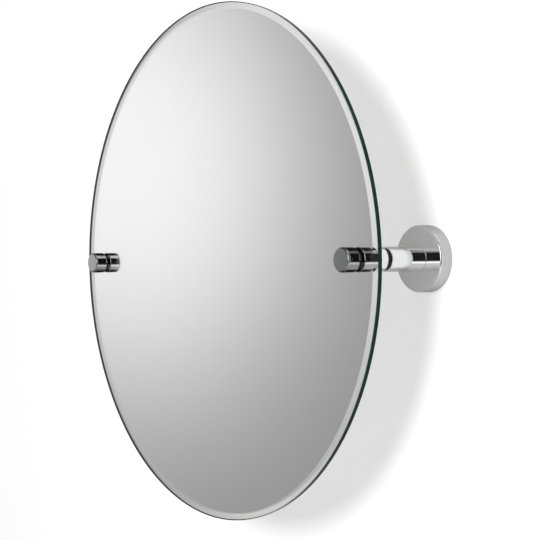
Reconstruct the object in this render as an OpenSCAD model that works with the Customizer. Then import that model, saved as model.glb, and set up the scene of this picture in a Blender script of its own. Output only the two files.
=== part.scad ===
// Pivot wall mirror: a round bevelled glass held in two clamps, each carried by a friction
// ball joint on the end of a chromed post that a grub screw locks over a wall plate.
// Frame: +X right, +Y into the wall, +Z up. The origin lies on the wall, midway between the posts.

/* [Mirror] */
// Diameter of the glass
mirror_d = 508; // [400:1:700]
// Thickness of the glass
glass_t = 4.9; // [3.8:0.1:8]
// Width of the bevel ground on the front face
bevel_w = 6.4; // [3:0.1:20]
// Depth of the bevel at the rim
bevel_depth = 0.65; // [0.4:0.05:2]
// Flat ground on the sharp corners of the rim
arris = 0.25; // [0.1:0.05:0.4]
// Thickness of the silver, copper and paint on the back
backing_t = 0.15; // [0.1:0.05:0.3]
// Bare glass left round the rim and the holes by the backing
backing_margin = 0.5; // [0.3:0.1:2]
// Distance from the rim to the middle of each clamp
post_inset = 33.3; // [30:0.1:80]

/* [Clamps through the glass] */
// Diameter of the front caps
cap_d = 22; // [20:0.5:30]
// Length of the front caps
cap_len = 13; // [11:0.1:20]
// Rounding of the cap's front edge
cap_round = 1.8; // [0.5:0.1:2.5]
// Rounding of the cap's rear edge, on the glass
cap_rear_round = 0.9; // [0.3:0.1:1.5]
// Thickness of the clear washers on both faces of the mirror
washer_t = 0.3; // [0.2:0.1:1.5]
// How far the washers stay inside the cap and the holder
washer_inset = 0.6; // [0.2:0.1:2]
// Hole drilled through the glass
glass_hole_d = 10; // [9:0.5:12]
// Clearance between the nylon bush and the hole in the glass
bush_clear = 0.1; // [0.05:0.05:0.3]
// Thread of the studs that hold the caps and the balls
stud_d = 6; // [5:0.5:7]
// Length of the clamp stud inside the cap
stud_in_cap = 8; // [6:0.5:9]
// Length of the clamp stud inside the holder
stud_in_holder = 8.5; // [6:0.5:9]

/* [Ball joint] */
// Distance from the wall to the middle of the ball
pivot_out = 55; // [50:0.5:70]
// Gap between the ends of the post and the holder, where the black socket shows
joint_gap = 4.6; // [4.2:0.1:6]
// Diameter of the steel ball
ball_d = 12; // [11:0.5:13]
// Diameter of the neck behind the ball
neck_d = 6; // [5:0.1:6.2]
// Largest tilt of the mirror each way, in degrees
tilt_max = 15; // [8:1:16]
// How far the black socket's round head lies below the post's surface
head_inset = 1.2; // [1:0.1:2.2]
// Radial running clearance of the ball in its socket
ball_clear = 0.05; // [0.02:0.01:0.1]
// Radial clearance between the socket's head and the holder's hollow seat
seat_clear = 0.3; // [0.2:0.05:0.5]
// Diameter of the socket's tail inside the post
tail_d = 16; // [15.5:0.1:17]
// Number of disc springs behind the ball
spring_count = 4; // [2:1:5]
// Thickness of one disc spring
spring_t = 0.5; // [0.3:0.1:0.7]
// Cone height of one disc spring
spring_cone = 0.35; // [0.2:0.05:0.5]
// Length of the plug that sets the friction
plug_len = 4; // [3:0.5:5]

/* [Posts and holders] */
// Diameter of the posts and the holders
post_d = 22; // [21:0.5:24]
// Length of the holder behind the mirror
holder_len = 25.9; // [25:0.1:40]
// Rounding of the post's front edge
post_round = 0.7; // [0.3:0.05:1.5]
// Rounding of the holder's rear edge
holder_round = 0.5; // [0.2:0.05:0.5]

/* [Rosettes and wall plates] */
// Diameter of the rosette
rosette_d = 60; // [55:0.5:80]
// Depth of the rosette from the wall to its face
rosette_depth = 13.4; // [12.5:0.1:18]
// Rounding of the rosette's front edge
rosette_round = 1.5; // [0.5:0.1:2.5]
// Side wall of the rosette
rosette_wall = 4.7; // [3.5:0.1:5]
// Thickness of the rosette's face
rosette_face = 3.4; // [2.5:0.1:4]
// Clearance round the wall plate inside the rosette
plate_clear = 0.3; // [0.1:0.05:0.5]
// Thickness of the wall plate
plate_t = 6; // [5:0.1:8]
// Distance between the two wall screws of a plate
screw_pitch = 33; // [28:0.5:34]
// Hole for a wall screw
screw_hole_d = 5; // [4:0.5:5.5]
// Head of a countersunk wall screw
screw_head_d = 9.8; // [8:0.1:11]
// Thread of the screw that holds the post to the rosette
post_screw_d = 6; // [5:0.5:8]
// Length of that screw inside the post
post_screw_in = 12; // [8:0.5:18]
// Diameter of that screw's head
screw_cap_d = 10; // [9:0.5:13]
// Height of that screw's head
screw_cap_h = 6; // [5:0.5:7]
// Thread of the grub screw that locks the rosette to the wall plate
grub_d = 4; // [3:0.5:5]

/* [Hidden] */
SIDES = [["left", -1], ["right", 1]];
POST_PIECES = [
    "front_cap", "front_washer", "glass_bush", "rear_washer", "clamp_stud", "mirror_holder",
    "ball_stud", "ball_socket", "ball_pad", "disc_springs", "tension_plug",
    "post", "rosette", "post_screw", "wall_plate", "grub_screw"
];

$fn = 96;
// Segments round the mirror
mirror_fn = 240;
// A cut's overshoot past the face it opens
over = 1;
// Clearance of a screw in its thread, of one that passes through, and of a drilled hole's end
thread_clear = 0.05;
loose_clear = 0.1;
end_clear = 0.5;
// Hexagon key, across its flats, for the plug and the post's screw
key_flats = 5;
small_round = 0.5;

// Distances out from the wall along a post
mouth_z = pivot_out - joint_gap / 2;
holder_z = pivot_out + joint_gap / 2;
rear_washer_z = holder_z + holder_len;
backing_z = rear_washer_z + washer_t;
glass_z = backing_z + backing_t;
glass_front_z = glass_z + glass_t;
cap_z = glass_front_z + washer_t;

mirror_r = mirror_d / 2;
post_x = mirror_r - post_inset;
stud_r = stud_d / 2 - thread_clear;
stud_hole_r = stud_d / 2;
loose_hole_r = stud_d / 2 + loose_clear;

// Metal left between the ball's thread and the clamp's thread in the holder
holder_web = 1.8;
stud_hole_z = joint_gap / 2 + holder_len - stud_in_holder - end_clear;

// Ball joint, measured from the middle of the ball: + towards the mirror, - towards the wall
ball_r = ball_d / 2;
neck_r = neck_d / 2;
socket_r = post_d / 2 - head_inset;
cavity_r = ball_r + ball_clear;
seat_r = socket_r + seat_clear;
swing = tilt_max + 2;
lip_past_ball = 0.5;
socket_front = ball_r + lip_past_ball;
// The ball's flange lies in the holder with its rear face flush with the seat
flange_rim = 1;
flange_t = 1.25;
flange_r = neck_r + flange_rim;
flange_z = sqrt(pow(seat_r, 2) - pow(flange_r, 2));
ball_thread_z = stud_hole_z - holder_web - end_clear;
pad_rim = 2;
pad_web = 2.2;
pad_rear = -(ball_r + pad_web);
spring_gap = 0.05;
spring_step = spring_t + spring_cone + spring_gap;
plug_front = pad_rear - spring_count * spring_step;
plug_rear = plug_front - plug_len;
tail_end = plug_rear - end_clear;
spring_hole_r = 3.2;
spring_clear = 0.35;
spring_r = cavity_r - spring_clear;
plug_key_depth = 0.7 * plug_len;

recess_r = rosette_d / 2 - rosette_wall;
recess_depth = rosette_depth - rosette_face;
plate_r = recess_r - plate_clear;
// Room round the post's screw in the rosette, past its end in the post, and round its head
post_screw_clear = 0.2;
post_drill_past = 2;
screw_cap_clear = 2;
// The grub screw's point and the plate's groove are both cut at 45 degrees
grub_r = grub_d / 2 - thread_clear;
grub_tip_r = 0.6;
grub_sunk = 0.3;
grub_gap = 0.1;
grub_key_depth = 2;
groove_depth = 0.8 * grub_r;
groove_z = plate_t / 2;
groove_r = plate_r - groove_depth;

// Opening of a swinging neck at distance z from the middle of the ball
function swing_r(z) = neck_r / cos(swing) + z * tan(swing);

// Stands its children on the wall at height z = distance out from the wall
module out_from_wall() rotate([90, 0, 0]) children();

// The same, on the axis of the left (-1) or right (+1) post
module at_post(side) translate([side * post_x, 0, 0]) out_from_wall() children();

// The same, with z = 0 at the middle of the ball
module at_ball(side) at_post(side) translate([0, 0, pivot_out]) children();

// Half section of a turned bar from z0 to z1, with rounded rear and front edges
module bar_section(r, z0, z1, round_rear, round_front) {
    translate([0, z0 + round_rear]) square([r, z1 - z0 - round_rear - round_front]);
    translate([0, z0]) square([r - round_rear, z1 - z0 - round_front]);
    translate([0, z0 + round_rear]) square([r - round_front, z1 - z0 - round_rear]);
    translate([r - round_rear, z0 + round_rear]) circle(r = round_rear);
    translate([r - round_front, z1 - round_front]) circle(r = round_front);
}

module turned(r, z0, z1, round_rear, round_front) {
    rotate_extrude() bar_section(r, z0, z1, round_rear, round_front);
}

module drilled(r, z0, z1) translate([0, 0, z0]) cylinder(r = r, h = z1 - z0);

// Clear washer under a bar of radius r
module washer(r) {
    difference() {
        cylinder(r = r - washer_inset, h = washer_t);
        drilled(loose_hole_r, -over, washer_t + over);
    }
}

// Hexagon socket across its flats, cut down from z = 0
module hex_socket(flats, depth) {
    translate([0, 0, -depth]) cylinder(d = flats / cos(30), h = depth + over, $fn = 6);
}

// ---- Mirror ----

module mirror_glass() {
    color([0.80, 0.86, 0.84, 0.6]) out_from_wall() difference() {
        rotate_extrude($fn = mirror_fn) polygon([
            [0, glass_z],
            [mirror_r - arris, glass_z],
            [mirror_r, glass_z + arris],
            [mirror_r, glass_front_z - bevel_depth],
            [mirror_r - bevel_w, glass_front_z],
            [0, glass_front_z]
        ]);
        for (s = SIDES) translate([s[1] * post_x, 0, 0])
            drilled(glass_hole_d / 2, glass_z - over, glass_front_z + over);
    }
}

module mirror_backing() {
    hole_r = glass_hole_d / 2 + backing_margin;
    color([0.78, 0.78, 0.77]) out_from_wall() difference() {
        translate([0, 0, backing_z])
            cylinder(r = mirror_r - backing_margin, h = backing_t, $fn = mirror_fn);
        for (s = SIDES) translate([s[1] * post_x, 0, 0])
            drilled(hole_r, backing_z - over, glass_z + over);
    }
}

// ---- Clamp through the glass ----

module front_cap() {
    color([0.80, 0.81, 0.83]) difference() {
        turned(cap_d / 2, cap_z, cap_z + cap_len, cap_rear_round, cap_round);
        drilled(stud_hole_r, cap_z - over, cap_z + stud_in_cap + end_clear);
    }
}

module front_washer() {
    color([0.90, 0.92, 0.92, 0.5]) translate([0, 0, glass_front_z]) washer(cap_d / 2);
}

module glass_bush() {
    color([0.93, 0.93, 0.90]) difference() {
        drilled(glass_hole_d / 2 - bush_clear, backing_z + thread_clear, glass_front_z - thread_clear);
        drilled(loose_hole_r, backing_z - over, glass_front_z + over);
    }
}

module rear_washer() {
    color([0.90, 0.92, 0.92, 0.5]) translate([0, 0, rear_washer_z]) washer(post_d / 2);
}

module clamp_stud() {
    color([0.62, 0.63, 0.65]) drilled(stud_r, rear_washer_z - stud_in_holder, cap_z + stud_in_cap);
}

// Barrel behind the glass, with the hollow seat that runs round the socket's head
module mirror_holder() {
    color([0.80, 0.81, 0.83]) difference() {
        rotate_extrude() difference() {
            bar_section(post_d / 2, joint_gap / 2, joint_gap / 2 + holder_len, holder_round, small_round);
            circle(r = seat_r);
        }
        drilled(flange_r + loose_clear, flange_z - over, flange_z + flange_t);
        drilled(stud_hole_r, flange_z, ball_thread_z + end_clear);
        drilled(stud_hole_r, stud_hole_z, joint_gap / 2 + holder_len + over);
    }
}

// ---- Ball joint ----

// Steel ball with its neck, shoulder and the thread that screws into the holder
module ball_stud() {
    color([0.66, 0.67, 0.69]) {
        sphere(r = ball_r);
        drilled(neck_r, 0, flange_z + flange_t / 2);
        drilled(flange_r, flange_z, flange_z + flange_t);
        drilled(stud_r, flange_z + flange_t / 2, ball_thread_z);
    }
}

// Black socket: its head shows in the gap, its lip holds the ball and its tail fits the post
module ball_socket() {
    color([0.06, 0.06, 0.07]) rotate_extrude() difference() {
        union() {
            intersection() {
                circle(r = socket_r);
                translate([0, -joint_gap / 2]) square([socket_r, joint_gap / 2 + socket_front]);
            }
            translate([0, tail_end]) square([tail_d / 2 - thread_clear, -tail_end]);
        }
        circle(r = cavity_r);
        translate([0, tail_end - over]) square([cavity_r, over - tail_end]);
        polygon([
            [0, 0], [swing_r(0), 0],
            [swing_r(socket_front + over), socket_front + over], [0, socket_front + over]
        ]);
    }
}

// Nylon pad that presses on the ball from behind
module ball_pad() {
    color([0.93, 0.93, 0.90]) difference() {
        drilled(cavity_r - thread_clear, pad_rear, -pad_rim);
        sphere(r = cavity_r);
    }
}

module disc_springs() {
    color([0.55, 0.56, 0.58]) for (i = [0 : spring_count - 1])
        translate([0, 0, pad_rear - (i + 0.5) * spring_step])
            mirror([0, 0, i % 2])
                rotate_extrude() translate([0, -(spring_t + spring_cone) / 2]) polygon([
                    [spring_hole_r, 0], [spring_r, spring_cone],
                    [spring_r, spring_cone + spring_t], [spring_hole_r, spring_t]
                ]);
}

module tension_plug() {
    color([0.62, 0.63, 0.65]) difference() {
        drilled(cavity_r - thread_clear, plug_rear, plug_front);
        translate([0, 0, plug_rear]) mirror([0, 0, 1]) hex_socket(key_flats, plug_key_depth);
    }
}

// ---- Post and wall fixing ----

module post() {
    color([0.80, 0.81, 0.83]) difference() {
        turned(post_d / 2, rosette_depth, mouth_z, small_round, post_round);
        drilled(tail_d / 2, pivot_out + tail_end - end_clear, mouth_z + over);
        drilled(post_screw_d / 2, rosette_depth - over, rosette_depth + post_screw_in + post_drill_past);
    }
}

module rosette() {
    color([0.80, 0.81, 0.83]) difference() {
        turned(rosette_d / 2, 0, rosette_depth, small_round, rosette_round);
        drilled(recess_r, -over, recess_depth);
        drilled(post_screw_d / 2 + post_screw_clear, 0, rosette_depth + over);
        translate([0, 0, groove_z]) rotate([90, 0, 0])
            drilled(grub_d / 2, recess_r - over, rosette_d / 2 + over);
    }
}

// Socket-head screw that pulls the post against the rosette
module post_screw() {
    head_z = recess_depth - screw_cap_h;
    color([0.55, 0.56, 0.58]) difference() {
        union() {
            drilled(screw_cap_d / 2, head_z, recess_depth);
            drilled(post_screw_d / 2 - thread_clear, head_z, rosette_depth + post_screw_in);
        }
        translate([0, 0, head_z]) mirror([0, 0, 1]) hex_socket(key_flats, screw_cap_h / 2);
    }
}

// Plate screwed to the wall, with a groove round its edge for the grub screw's point
module wall_plate() {
    cone_h = (screw_head_d - screw_hole_d) / 2;
    color([0.70, 0.71, 0.72]) difference() {
        rotate_extrude() polygon([
            [0, 0], [plate_r, 0], [plate_r, groove_z - groove_depth], [groove_r, groove_z],
            [plate_r, groove_z + groove_depth], [plate_r, plate_t], [0, plate_t]
        ]);
        drilled(screw_cap_d / 2 + screw_cap_clear, -over, plate_t + over);
        for (up = [-1, 1]) translate([0, up * screw_pitch / 2, 0]) {
            drilled(screw_hole_d / 2, -over, plate_t + over);
            translate([0, 0, plate_t - cone_h])
                cylinder(d1 = screw_hole_d, d2 = screw_head_d, h = cone_h);
        }
    }
}

// Grub screw under the rosette: its cone runs into the plate's groove
module grub_screw() {
    tip = groove_r + grub_tip_r + grub_gap;
    cone = grub_r - grub_tip_r;
    head = rosette_d / 2 - grub_sunk;
    color([0.40, 0.40, 0.42]) translate([0, 0, groove_z]) rotate([90, 0, 0]) difference() {
        union() {
            translate([0, 0, tip]) cylinder(r1 = grub_tip_r, r2 = grub_r, h = cone);
            drilled(grub_r, tip + cone, head);
        }
        translate([0, 0, head]) hex_socket(grub_d / 2, grub_key_depth);
    }
}

mirror_glass();
mirror_backing();
for (s = SIDES) {
    at_post(s[1]) front_cap();
    at_post(s[1]) front_washer();
    at_post(s[1]) glass_bush();
    at_post(s[1]) rear_washer();
    at_post(s[1]) clamp_stud();
    at_ball(s[1]) mirror_holder();
    at_ball(s[1]) ball_stud();
    at_ball(s[1]) ball_socket();
    at_ball(s[1]) ball_pad();
    at_ball(s[1]) disc_springs();
    at_ball(s[1]) tension_plug();
    at_post(s[1]) post();
    at_post(s[1]) rosette();
    at_post(s[1]) post_screw();
    at_post(s[1]) wall_plate();
    at_post(s[1]) grub_screw();
}
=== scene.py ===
import bpy
import numpy as np
from mathutils import Matrix, Vector
from mathutils.geometry import delaunay_2d_cdt


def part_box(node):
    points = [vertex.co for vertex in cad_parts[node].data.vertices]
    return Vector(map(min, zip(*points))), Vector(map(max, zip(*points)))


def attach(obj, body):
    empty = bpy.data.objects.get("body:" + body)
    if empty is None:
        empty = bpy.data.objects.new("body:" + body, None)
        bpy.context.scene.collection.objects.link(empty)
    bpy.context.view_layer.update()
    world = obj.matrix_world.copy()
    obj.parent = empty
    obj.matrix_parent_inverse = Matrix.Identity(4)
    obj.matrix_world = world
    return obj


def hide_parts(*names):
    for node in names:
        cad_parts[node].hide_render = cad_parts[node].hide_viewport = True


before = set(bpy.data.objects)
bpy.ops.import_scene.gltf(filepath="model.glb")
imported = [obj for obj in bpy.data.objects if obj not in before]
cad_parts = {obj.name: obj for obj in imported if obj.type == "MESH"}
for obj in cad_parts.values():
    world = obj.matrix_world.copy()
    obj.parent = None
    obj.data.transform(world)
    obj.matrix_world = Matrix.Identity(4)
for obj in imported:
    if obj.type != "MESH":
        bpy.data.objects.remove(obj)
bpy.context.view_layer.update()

mm = 0.001

# the camera stands 1.4 m away, well round to the right of the mirror and level with its centre
photoView = dict(
    place=(1.1188, -0.8245, 0.001),
    turn=54.167,        # degrees from square-on, towards the right
    tip=-0.4386,        # degrees up
    roll=-0.749,        # degrees
    lens=90.14,         # millimetres
    sensor=36.0,        # millimetres wide
    nearest=10 * mm,    # the view starts here
)


def setCamera(v):
    turn, tip, roll = np.radians([v["turn"], v["tip"], v["roll"]])
    ahead = np.array([-np.sin(turn) * np.cos(tip), np.cos(turn) * np.cos(tip), np.sin(tip)])
    level = np.array([np.cos(turn), np.sin(turn), 0.0])
    upright = np.cross(level, ahead)
    right = level * np.cos(roll) + upright * np.sin(roll)
    up = -level * np.sin(roll) + upright * np.cos(roll)
    data = bpy.data.cameras.new("photoCamera")
    data.lens = v["lens"]
    data.sensor_width = v["sensor"]
    data.clip_start = v["nearest"]
    camera = bpy.data.objects.new("photoCamera", data)
    bpy.context.scene.collection.objects.link(camera)
    rows = [[right[i], up[i], -ahead[i], v["place"][i]] for i in range(3)]
    camera.matrix_world = Matrix(rows + [[0, 0, 0, 1]])
    bpy.context.scene.camera = camera


setCamera(photoView)
bpy.context.scene.view_settings.view_transform = "Standard"
print("camera set")

glassLow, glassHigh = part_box("mirror_glass")
studLow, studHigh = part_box("right_clamp_stud")
plate = dict(
    radius=-glassLow[0],                # as wide as the solid's facets
    rear=-glassHigh[1] + 0.01 * mm,     # out from the wall, a hair in front of the paint
    front=-glassLow[1],
    bevelWide=6.4 * mm,
    bevelDeep=0.65 * mm,
    arris=0.25 * mm,
    bareWide=0.8 * mm,      # dark ring at the back where the silver stops short of the rim
    holeX=(studLow[0] + studHigh[0]) / 2,
    holeRadius=5.0 * mm,
    steps=720,              # round the rim
    holeSteps=64,
    weld=1e-9,              # points of a flat face nearer than this are one
    crease=3.0,             # degrees, above which an edge stays crisp
)


class Nodes:
    # a small wrapper that adds nodes to one tree and links them
    def __init__(self, tree):
        self.tree = tree
        tree.nodes.clear()

    def add(self, kind, **settings):
        node = self.tree.nodes.new(kind)
        for key, value in settings.items():
            setattr(node, key, value)
        return node

    def feed(self, source, target):
        # source is another node's socket or a plain value
        if hasattr(source, "links"):
            self.tree.links.new(source, target)
        else:
            target.default_value = source

    def math(self, operation, a, b=None):
        node = self.add("ShaderNodeMath", operation=operation)
        self.feed(a, node.inputs[0])
        if b is not None:
            self.feed(b, node.inputs[1])
        return node.outputs[0]

    def reach(self, a, b):
        # root of a squared plus b squared
        squares = self.math("ADD", self.math("MULTIPLY", a, a), self.math("MULTIPLY", b, b))
        return self.math("SQRT", squares)

    def dot(self, a, b):
        node = self.add("ShaderNodeVectorMath", operation="DOT_PRODUCT")
        self.feed(a, node.inputs[0])
        self.feed(b, node.inputs[1])
        return node.outputs["Value"]

    def split(self, vector):
        # x, y and z
        node = self.add("ShaderNodeSeparateXYZ")
        self.feed(vector, node.inputs[0])
        return node.outputs

    def place(self):
        # the point on the piece
        return self.add("ShaderNodeTexCoord").outputs["Object"]

    def ramp(self, value, low, high, outLow=0.0, outHigh=1.0):
        # a soft step from outLow to outHigh as value goes from low to high
        node = self.add("ShaderNodeMapRange", interpolation_type="SMOOTHSTEP")
        self.feed(value, node.inputs["Value"])
        for key, v in (("From Min", low), ("From Max", high), ("To Min", outLow), ("To Max", outHigh)):
            node.inputs[key].default_value = v
        return node.outputs["Result"]

    def blend(self, factor, a, b):
        # from number a to number b
        node = self.add("ShaderNodeMix", data_type="FLOAT")
        for k, value in ((0, factor), (2, a), (3, b)):
            self.feed(value, node.inputs[k])
        return node.outputs[0]

    def mix(self, factor, a, b):
        # from colour a to colour b
        node = self.add("ShaderNodeMix", data_type="RGBA")
        for k, value in ((0, factor), (6, a), (7, b)):
            self.feed(value, node.inputs[k])
        return node.outputs[2]

    def noise(self, scale, detail=2.0, roughness=0.5):
        node = self.add("ShaderNodeTexNoise")
        self.feed(self.place(), node.inputs["Vector"])
        node.inputs["Scale"].default_value = scale
        node.inputs["Detail"].default_value = detail
        node.inputs["Roughness"].default_value = roughness
        return node.outputs["Fac"]

    def bump(self, height, distance):
        node = self.add("ShaderNodeBump")
        self.feed(height, node.inputs["Height"])
        node.inputs["Strength"].default_value = 1.0
        node.inputs["Distance"].default_value = distance
        return node.outputs["Normal"]


def newMaterial(name):
    m = bpy.data.materials.new(name)
    m.use_nodes = True
    n = Nodes(m.node_tree)
    out = n.add("ShaderNodeOutputMaterial")
    return m, n, out


# a value goes from its low to its high end while the noise goes over this span
noiseSpan = (0.3, 0.7)
# grain is how fine the noise is, per metre; the spreads are how far the colour (as a share of itself)
# and the roughness wander over it; a bump has its own height and grain
finishLooks = dict(
    # the ground and polished edge, dark green from outside and behind the bevel
    edge=dict(name="plateEdge", colour=(0.004, 0.022, 0.017), roughness=0.09, specular=0.08,
              grain=120.0, colourSpread=0.25, roughSpread=0.03),
    silver=dict(name="silvering", colour=(0.957, 0.94, 0.944), roughness=0.002, metallic=1.0,
                grain=30.0, colourSpread=0.004, roughSpread=0.002),
    # one chrome in two copies: the caps' copy is darkened well below the posts' and rosettes', painted
    # shade, and the posts' and rosettes' copy is a little brighter than plain chrome, painted light
    capChromeShaded=dict(name="capChromeShaded", colour=(0.365, 0.368, 0.372), roughness=0.025, metallic=1.0,
                   grain=260.0, colourSpread=0.015, roughSpread=0.012),
    postChromeLit=dict(name="postChromeLit", colour=(0.70, 0.704, 0.708), roughness=0.03, metallic=1.0,
                    grain=260.0, colourSpread=0.015, roughSpread=0.012),
    lacquer=dict(name="backLacquer", colour=(0.78, 0.78, 0.77), roughness=0.42,
                 grain=700.0, colourSpread=0.06, roughSpread=0.08,
                 bumpHeight=0.03 * mm, bumpGrain=1400.0),
    white=dict(name="whiteNylon", colour=(0.8, 0.79, 0.76), roughness=0.45,
               grain=600.0, colourSpread=0.03, roughSpread=0.06, bumpHeight=0.01 * mm),
    black=dict(name="blackAcetal", colour=(0.01, 0.01, 0.011), roughness=0.32, specular=0.15,
               grain=700.0, colourSpread=0.2, roughSpread=0.08, bumpHeight=0.01 * mm),
    steel=dict(name="drawnSteel", colour=(0.5, 0.5, 0.51), roughness=0.28, metallic=1.0,
               grain=900.0, colourSpread=0.06, roughSpread=0.08,
               bumpHeight=0.004 * mm, bumpGrain=2500.0),
    zinc=dict(name="zincPlate", colour=(0.58, 0.6, 0.62), roughness=0.38, metallic=1.0,
              grain=350.0, colourSpread=0.08, roughSpread=0.1,
              bumpHeight=0.006 * mm, bumpGrain=1200.0),
)
# the bevel's colour is darkened a little below the face's, painted shade that dims what it reflects, and
# the glass is green through its depth
glassLook = dict(
    name="floatGlass", ior=1.52, face=(1, 1, 1, 1), bevel=(0.895, 0.895, 0.885, 1),
    bevelFrom=plate["radius"] - plate["bevelWide"], bevelSoft=0.1 * mm,
    grain=60.0, grainSpan=(0.35, 0.65), roughness=(0.0, 0.003), green=(0.25, 0.8, 0.6, 1), density=3.5,
)
clearLook = dict(
    name="clearPolymer", ior=1.46, colours=((0.9, 0.92, 0.91, 1), (0.95, 0.96, 0.96, 1)),
    colourGrain=300.0, roughness=(0.06, 0.12), roughGrain=500.0,
)


def surface(name, colour, roughness, grain, colourSpread, roughSpread, metallic=0.0, specular=0.5,
            bumpHeight=0.0, bumpGrain=900.0):
    # a finish whose colour and gloss wander a little over a fine noise
    m, n, out = newMaterial(name)
    bsdf = n.add("ShaderNodeBsdfPrincipled")
    fine = n.noise(grain, detail=3.0, roughness=0.55)
    dark = [c * (1 - colourSpread) for c in colour] + [1]
    light = [min(1, c * (1 + colourSpread)) for c in colour] + [1]
    n.feed(n.mix(n.ramp(fine, *noiseSpan), dark, light), bsdf.inputs["Base Color"])
    glossy, dull = max(0.0, roughness - roughSpread), roughness + roughSpread
    n.feed(n.ramp(fine, *noiseSpan, glossy, dull), bsdf.inputs["Roughness"])
    bsdf.inputs["Metallic"].default_value = metallic
    bsdf.inputs["Specular IOR Level"].default_value = specular
    if bumpHeight:
        n.feed(n.bump(n.noise(bumpGrain), bumpHeight), bsdf.inputs["Normal"])
    n.feed(bsdf.outputs[0], out.inputs["Surface"])
    return m


def glassMaterial(g):
    m, n, out = newMaterial(g["name"])
    bsdf = n.add("ShaderNodeBsdfPrincipled")
    bsdf.inputs["Transmission Weight"].default_value = 1.0
    bsdf.inputs["IOR"].default_value = g["ior"]
    x, _, z = n.split(n.place())
    # painted shade: the ring of the bevel takes the darker colour
    bevelShadeMask = n.ramp(n.reach(x, z), g["bevelFrom"], g["bevelFrom"] + g["bevelSoft"])
    n.feed(n.mix(bevelShadeMask, g["face"], g["bevel"]), bsdf.inputs["Base Color"])
    n.feed(n.ramp(n.noise(g["grain"]), *g["grainSpan"], *g["roughness"]), bsdf.inputs["Roughness"])
    n.feed(bsdf.outputs[0], out.inputs["Surface"])
    green = n.add("ShaderNodeVolumeAbsorption")
    green.inputs["Color"].default_value = g["green"]
    green.inputs["Density"].default_value = g["density"]
    n.feed(green.outputs[0], out.inputs["Volume"])
    return m


def clearMaterial(c):
    m, n, out = newMaterial(c["name"])
    bsdf = n.add("ShaderNodeBsdfPrincipled")
    bsdf.inputs["Transmission Weight"].default_value = 1.0
    bsdf.inputs["IOR"].default_value = c["ior"]
    tint = n.ramp(n.noise(c["colourGrain"]), *noiseSpan)
    n.feed(n.mix(tint, *c["colours"]), bsdf.inputs["Base Color"])
    n.feed(n.ramp(n.noise(c["roughGrain"]), *noiseSpan, *c["roughness"]), bsdf.inputs["Roughness"])
    n.feed(bsdf.outputs[0], out.inputs["Surface"])
    return m


finishes = {key: surface(**look) for key, look in finishLooks.items()}
finishes["glass"] = glassMaterial(glassLook)
finishes["clear"] = clearMaterial(clearLook)
slotFinish = dict(
    mirror_glass="glass", backing_paint="lacquer", chrome="postChromeLit", clear_plastic="clear",
    white_plastic="white", black_plastic="black", steel="steel", zinc_steel="zinc",
)
for name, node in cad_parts.items():
    for i, slot in enumerate(node.material_slots):
        key = next((k for k in slotFinish if slot.material and slot.material.name.startswith(k)), None)
        if key is None:
            raise SystemExit("no finish for %s on %s" % (slot.material, name))
        # the front caps take the darkened chrome copy, painted shade
        finish = "capChromeShaded" if name.endswith("front_cap") else slotFinish[key]
        node.material_slots[i].material = finishes[finish]
print("finishes on %d nodes" % len(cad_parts))

# each face of the plate takes one of these finishes
plateFinishes = ["glass", "silver", "edge"]
glassFace, silverFace, edgeFace = range(3)


def circleXZ(radius, out, steps, centreX=0.0):
    # a ring square to Y: x = centre + r cos t, y = -out, z = r sin t
    t = np.linspace(0, 2 * np.pi, steps, endpoint=False)
    return np.stack([centreX + radius * np.cos(t), np.full(steps, -out), radius * np.sin(t)], -1)


def bandFaces(firstA, firstB, steps):
    # four-sided faces between ring A and ring B, both of the same number of steps
    i = np.arange(steps)
    j = (i + 1) % steps
    return np.stack([firstA + i, firstB + i, firstB + j, firstA + j], -1).tolist()


def flatFaces(verts, outer, holes, isRear, p):
    # triangles between the outer ring and the two holes, each ring given by the number of its first
    # point: those whose middle is nearer to a hole's centre than its radius are left out
    loops = [np.arange(outer, outer + p["steps"])] + [np.arange(h, h + p["holeSteps"]) for h in holes]
    index = np.concatenate(loops)
    edges = []
    for loop in loops:
        k = np.arange(len(loop))
        edges += (np.stack([k, (k + 1) % len(loop)], -1) + len(edges)).tolist()
    flat = [Vector(v) for v in verts[index][:, [0, 2]]]
    insideOnly = 1
    points, _, made, sources, _, _ = delaunay_2d_cdt(flat, edges, [], insideOnly, p["weld"])
    fill = np.array(made)
    middle = np.array(points)[fill].mean(1)
    fromHole = np.hypot(np.abs(middle[:, 0]) - p["holeX"], middle[:, 1])
    source = index[[first[0] for first in sources]]
    fill = source[fill[fromHole > p["holeRadius"]]]
    a, b, c = (verts[fill[:, k]] for k in range(3))
    facing = np.cross(b - a, c - a)[:, 1]
    wrong = facing < 0 if isRear else facing > 0
    fill[wrong] = fill[wrong][:, ::-1]
    return fill.tolist()


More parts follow.
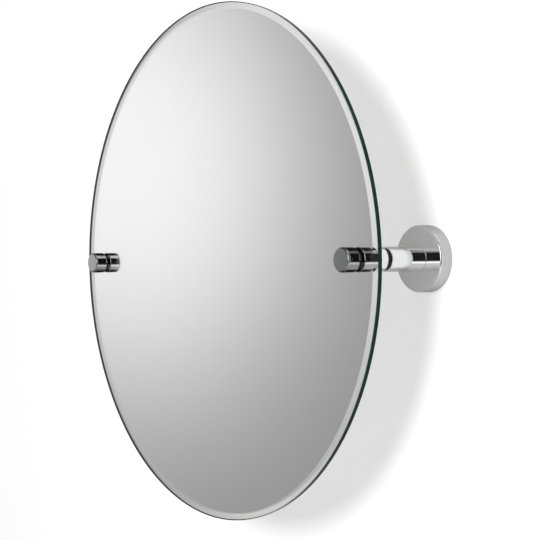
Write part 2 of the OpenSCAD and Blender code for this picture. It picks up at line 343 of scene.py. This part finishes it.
def makePlate(p):
    # a profile carried round Y: rings from the front's bevel line over bevel, arris and edge to the
    # silver's border at the rear, joined by bands, and a flat face at each end
    profile = [
        (p["radius"] - p["bevelWide"], p["front"]),
        (p["radius"] - p["arris"], p["front"] - p["bevelDeep"]),
        (p["radius"], p["front"] - p["bevelDeep"] - p["arris"]),
        (p["radius"], p["rear"] + p["arris"]),
        (p["radius"] - p["arris"], p["rear"]),
        (p["radius"] - p["arris"] - p["bareWide"], p["rear"]),
    ]
    rings = [circleXZ(r, out, p["steps"]) for r, out in profile]
    holes = [circleXZ(p["holeRadius"], out, p["holeSteps"], side * p["holeX"])
             for side in (-1, 1) for out in (p["front"], p["rear"])]
    verts = np.concatenate(rings + holes)
    ringStart = [k * p["steps"] for k in range(len(rings))]
    leftFront, leftRear, rightFront, rightRear = (
        len(rings) * p["steps"] + k * p["holeSteps"] for k in range(len(holes)))
    bands = [bandFaces(a, b, p["steps"]) for a, b in zip(ringStart[:-1], ringStart[1:])]
    groups = [(bands[0], glassFace)] + [(band, edgeFace) for band in bands[1:]] + [
        (bandFaces(leftRear, leftFront, p["holeSteps"]), glassFace),
        (bandFaces(rightRear, rightFront, p["holeSteps"]), glassFace),
        (flatFaces(verts, ringStart[0], (leftFront, rightFront), False, p), glassFace),
        (flatFaces(verts, ringStart[-1], (leftRear, rightRear), True, p), silverFace),
    ]
    faces = sum((group for group, _ in groups), [])
    finishOfFace = sum(([kind] * len(group) for group, kind in groups), [])
    mesh = bpy.data.meshes.new("mirrorPlate")
    mesh.from_pydata(verts.tolist(), [], faces)
    for finish in plateFinishes:
        mesh.materials.append(finishes[finish])
    mesh.polygons.foreach_set("material_index", finishOfFace)
    mesh.polygons.foreach_set("use_smooth", [True] * len(faces))
    mesh.validate()
    mesh.set_sharp_from_angle(angle=np.radians(p["crease"]))
    obj = bpy.data.objects.new("mirrorPlate", mesh)
    bpy.context.scene.collection.objects.link(obj)
    return obj


mirrorPlate = makePlate(plate)
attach(mirrorPlate, "mirror")
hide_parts("mirror_glass")
print("plate: %d faces" % len(mirrorPlate.data.polygons))

# the room: a white wall seen from the front only, and a pale floor far below
room = dict(wallBehind=0.2 * mm, wallHalf=3.0, floorDown=1.3, floorHalf=2.6)
# paint and glow of the wall and floor, as the camera, dull surfaces and polished ones see them
wallLook = dict(camera=(0.37, 0.53), dull=(0.45, 0.43), polished=(0.54, 0.197))
floorLook = dict(camera=(0.37, 0.53), dull=(0.33, 0.23), polished=(0.45, 0.35))
# painted shade: the wall as polished metal sees it is darkened close round the posts; centre, where it
# starts and ends, how much
wallShade = dict(postX=plate["holeX"], inner=43.0 * mm, outer=54.0 * mm, level=0.66)
# the wall's glow as dull surfaces see it, which lights the back of the mirror: dimmed behind the mirror's
# middle, a painted shadow of the mirror, and raised beyond its rim, painted light
wallPaintedShadow = dict(inner=120.0 * mm, outer=300.0 * mm, low=0.45, high=1.75)


def flatSheet(name, corners, material):
    mesh = bpy.data.meshes.new(name)
    mesh.from_pydata(corners, [], [(0, 1, 2, 3)])
    mesh.materials.append(material)
    obj = bpy.data.objects.new(name, mesh)
    bpy.context.scene.collection.objects.link(obj)
    return obj


def roomMaterial(name, look, shade=None, paintedShadow=None):
    m, n, out = newMaterial(name)
    rays = n.add("ShaderNodeLightPath").outputs
    x, _, z = n.split(n.place())
    polished = look["polished"]
    dullPaint, dullGlow = look["dull"]
    if shade:
        # painted shade on the wall round each post, only where polished metal shows it
        far = n.reach(n.math("SUBTRACT", n.math("ABSOLUTE", x), shade["postX"]), z)
        shadeNearPost = n.ramp(far, shade["inner"], shade["outer"], shade["level"], 1.0)
        polished = [n.math("MULTIPLY", shadeNearPost, value) for value in polished]
    if paintedShadow:
        # painted shadow and light in the wall's glow: dimmed behind the mirror's middle, raised beyond
        # its rim
        shadowAndLight = n.ramp(n.reach(x, z), paintedShadow["inner"], paintedShadow["outer"], paintedShadow["low"], paintedShadow["high"])
        dullGlow = n.math("MULTIPLY", shadowAndLight, dullGlow)
    paint, glow = (n.blend(rays["Is Camera Ray"], n.blend(rays["Is Diffuse Ray"], p, d), c)
                   for p, d, c in zip(polished, (dullPaint, dullGlow), look["camera"]))
    painted = n.add("ShaderNodeBsdfDiffuse")
    n.feed(paint, painted.inputs["Color"])
    glowing = n.add("ShaderNodeEmission")
    n.feed(glow, glowing.inputs["Strength"])
    both = n.add("ShaderNodeAddShader")
    n.feed(painted.outputs[0], both.inputs[0])
    n.feed(glowing.outputs[0], both.inputs[1])
    clear = n.add("ShaderNodeBsdfTransparent")
    pick = n.add("ShaderNodeMixShader")
    n.feed(n.add("ShaderNodeNewGeometry").outputs["Backfacing"], pick.inputs[0])
    n.feed(both.outputs[0], pick.inputs[1])
    n.feed(clear.outputs[0], pick.inputs[2])
    n.feed(pick.outputs[0], out.inputs["Surface"])
    return m


def makeRoom(r):
    w, f, back, low = r["wallHalf"], r["floorHalf"], r["wallBehind"], -r["floorDown"]
    wall = [(-w, back, low), (w, back, low), (w, back, w), (-w, back, w)]
    flatSheet("wall", wall, roomMaterial("wallPaint", wallLook, wallShade, wallPaintedShadow))
    front = back - 2 * f
    ground = [(-f, front, low), (f, front, low), (f, back, low), (-f, back, low)]
    floor = flatSheet("floor", ground, roomMaterial("floorPaint", floorLook))
    floor.visible_glossy = False
    floor.visible_transmission = False


makeRoom(room)
print("room set")

# one large soft lamp in front, a little to the right and above: its direction in degrees, its distance
# and width in metres
keyLamp = dict(side=17.3, up=12.2, far=3.0, size=1.2, power=117.0)


def towards(side, up):
    # the direction at so many degrees from -Y towards +X, and so many above level
    a, e = np.radians(side), np.radians(up)
    return np.array([np.sin(a) * np.cos(e), -np.cos(a) * np.cos(e), np.sin(e)])


def addKey(k):
    data = bpy.data.lights.new("keyLamp", "AREA")
    data.shape = "DISK"
    data.size = k["size"]
    data.energy = k["power"]
    lamp = bpy.data.objects.new("keyLamp", data)
    bpy.context.scene.collection.objects.link(lamp)
    d = Vector(towards(k["side"], k["up"]))
    lamp.location = d * k["far"]
    lamp.rotation_euler = d.to_track_quat("Z", "Y").to_euler()
    lamp.visible_glossy = False
    lamp.visible_camera = False
    lamp.visible_transmission = False


addKey(keyLamp)

# the room all round, which the mirror and the metal show; sides and heights are in degrees
roomLight = dict(
    ambient=0.1,            # the even light that falls on dull surfaces
    base=0.31,              # what polished surfaces see where nothing else is set
    again=1.5,              # how much brighter it is where metal shows it in metal
    facing=(0.05, 0.12),    # a panel fades out where a direction turns this far from it (cosines)
    horizon=(0.02, 0.1),    # a sheet fades out this far above or below level (sines)
    leanAt=-0.73,           # the place along a leaning sheet where its sides stay put
)
# the bright window, as a round blot: its half width and height (tangents), its lean (radians),
# how steeply it falls off, and how much it adds
windowGlow = dict(side=-60.5, up=4.5, wide=0.141, high=0.188, lean=0.15, power=2.55, level=0.67)
# soft panels and dark places: side and up of the middle, half width and half height in degrees,
# how soft the edge is, and the level there
roomPanels = [
    dict(side=52.0, up=14.0, wide=24.0, high=29.0, soft=6.0, level=0.015),
    dict(side=54.0, up=1.0, wide=12.0, high=0.5, soft=0.6, level=0.3),
    dict(side=18.0, up=12.0, wide=11.0, high=16.0, soft=3.0, level=4.0),
    dict(side=-28.0, up=50.0, wide=24.0, high=17.0, soft=4.0, level=0.02),
    dict(side=-38.0, up=-42.0, wide=28.0, high=20.0, soft=4.0, level=0.03),
]
# a ceiling and two floor sheets one unit above or below: where each rises and falls across (x) and
# along (y), how far its sides lean, and its level
roomSheets = [
    dict(up=1.0, across=(-0.15, 0.2, 0.62, 0.92), along=(-0.88, -0.60, -0.2, -0.1), lean=0.0, level=1.05),
    dict(up=-1.0, across=(-0.12, 0.12, 2.2, 3.4), along=(-3.2, -2.2, -0.2, -0.1), lean=1.4, level=0.7),
    dict(up=-1.0, across=(0.8, 1.4, 1.7, 2.3), along=(-3.2, -2.2, -0.2, -0.1), lean=0.0, level=1.37),
]
# what the mirror shows when it is looked at directly: the window and the base level as far as even
# degrees from its side, and from away degrees on a slow climb from the floor's level to the ceiling's
# (low and high are sines), with soft lamps
calmRoom = dict(
    side=-58.0, even=14.5, away=36.0,
    low=-0.8, high=0.75, floorLevel=0.46, ceilingLevel=0.92,
    lamps=[
        dict(side=20.0, up=14.0, inner=3.0, outer=30.0, level=0.95),
        dict(side=-14.0, up=-16.0, inner=2.0, outer=28.0, level=0.36),
        dict(side=98.0, up=10.0, inner=4.0, outer=58.0, level=0.97),
    ],
)


def roomWorld(r, glow, panels, sheets, calm):
    world = bpy.data.worlds.new("studio")
    bpy.context.scene.world = world
    world.use_nodes = True
    n = Nodes(world.node_tree)
    out = n.add("ShaderNodeOutputWorld")
    way = n.add("ShaderNodeTexCoord").outputs["Generated"]
    wayX, wayY, wayZ = n.split(way)

    def flatPlace(side, up, lean=0.0):
        # where a direction meets a plane set square to the panel's own direction
        middle = towards(side, up)
        right = np.cross((0, 0, 1), middle)
        right /= np.linalg.norm(right)
        over = np.cross(middle, right)
        across, upwards = (right * np.cos(lean) + over * np.sin(lean),
                           over * np.cos(lean) - right * np.sin(lean))
        ahead = n.dot(way, tuple(middle))
        safe = n.math("MAXIMUM", ahead, r["facing"][0])
        return (n.math("DIVIDE", n.dot(way, tuple(across)), safe),
                n.math("DIVIDE", n.dot(way, tuple(upwards)), safe),
                n.ramp(ahead, *r["facing"]))

    def within(side, up, inner, outer):
        # 1 up to inner degrees from a direction, 0 from outer on: the dot product is the cosine
        alike = n.dot(way, tuple(towards(side, up)))
        return n.ramp(alike, np.cos(np.radians(outer)), np.cos(np.radians(inner)))

    # the window falls off as e to the power of -(q to its own power), where q counts the half widths
    # and half heights from its middle
    x, y, front = flatPlace(glow["side"], glow["up"], glow["lean"])
    q = n.reach(n.math("DIVIDE", x, glow["wide"]), n.math("DIVIDE", y, glow["high"]))
    fall = n.math("EXPONENT", n.math("MULTIPLY", n.math("POWER", q, glow["power"]), -1.0))
    level = n.math("ADD", n.math("MULTIPLY", n.math("MULTIPLY", fall, glow["level"]), front), r["base"])

    away = n.ramp(wayZ, calm["low"], calm["high"], calm["floorLevel"], calm["ceilingLevel"])
    for s in calm["lamps"]:
        away = n.blend(within(s["side"], s["up"], s["inner"], s["outer"]), away, s["level"])
    inGlass = n.blend(within(calm["side"], 0.0, calm["even"], calm["away"]), away, level)

    for s in panels:
        x, y, front = flatPlace(s["side"], s["up"])
        wide, high, soft = (float(np.tan(np.radians(s[k]))) for k in ("wide", "high", "soft"))
        inX = n.ramp(n.math("ABSOLUTE", x), wide - soft, wide + soft, 1.0, 0.0)
        inY = n.ramp(n.math("ABSOLUTE", y), high - soft, high + soft, 1.0, 0.0)
        inside = n.math("MULTIPLY", n.math("MULTIPLY", inX, inY), front)
        level = n.blend(inside, level, s["level"])
    for s in sheets:
        height = n.math("MAXIMUM", n.math("MULTIPLY", wayZ, s["up"]), r["horizon"][0])
        along = n.math("DIVIDE", wayY, height)
        shift = n.math("MULTIPLY", n.math("SUBTRACT", along, r["leanAt"]), s["lean"])
        across = n.math("SUBTRACT", n.math("DIVIDE", wayX, height), shift)
        inside = n.ramp(height, *r["horizon"])
        for place, (a, b, c, d) in ((across, s["across"]), (along, s["along"])):
            held = n.math("MULTIPLY", n.ramp(place, a, b), n.ramp(place, c, d, 1.0, 0.0))
            inside = n.math("MULTIPLY", inside, held)
        level = n.blend(inside, level, s["level"])

    # the mirror looked at directly gets the calm room; metal gets the window, panels and sheets,
    # also where the mirror shows it, and brighter where metal shows metal; dull surfaces get the
    # even light, and the camera sees white behind the part
    rays = n.add("ShaderNodeLightPath").outputs
    once = n.math("LESS_THAN", rays["Glossy Depth"], 1.5)   # 1 unless polish turned the ray twice
    inMetal = n.math("MULTIPLY", level, n.blend(once, r["again"], 1.0))
    polished = n.blend(rays["Is Transmission Ray"], inMetal, n.blend(once, level, inGlass))
    seen = n.blend(rays["Is Diffuse Ray"], polished, r["ambient"])
    shown = n.blend(rays["Is Camera Ray"], seen, 1.0)
    back = n.add("ShaderNodeBackground")
    back.inputs["Color"].default_value = (1, 1, 1, 1)
    n.feed(shown, back.inputs["Strength"])
    n.feed(back.outputs[0], out.inputs["Surface"])


roomWorld(roomLight, windowGlow, roomPanels, roomSheets, calmRoom)
print("light set")
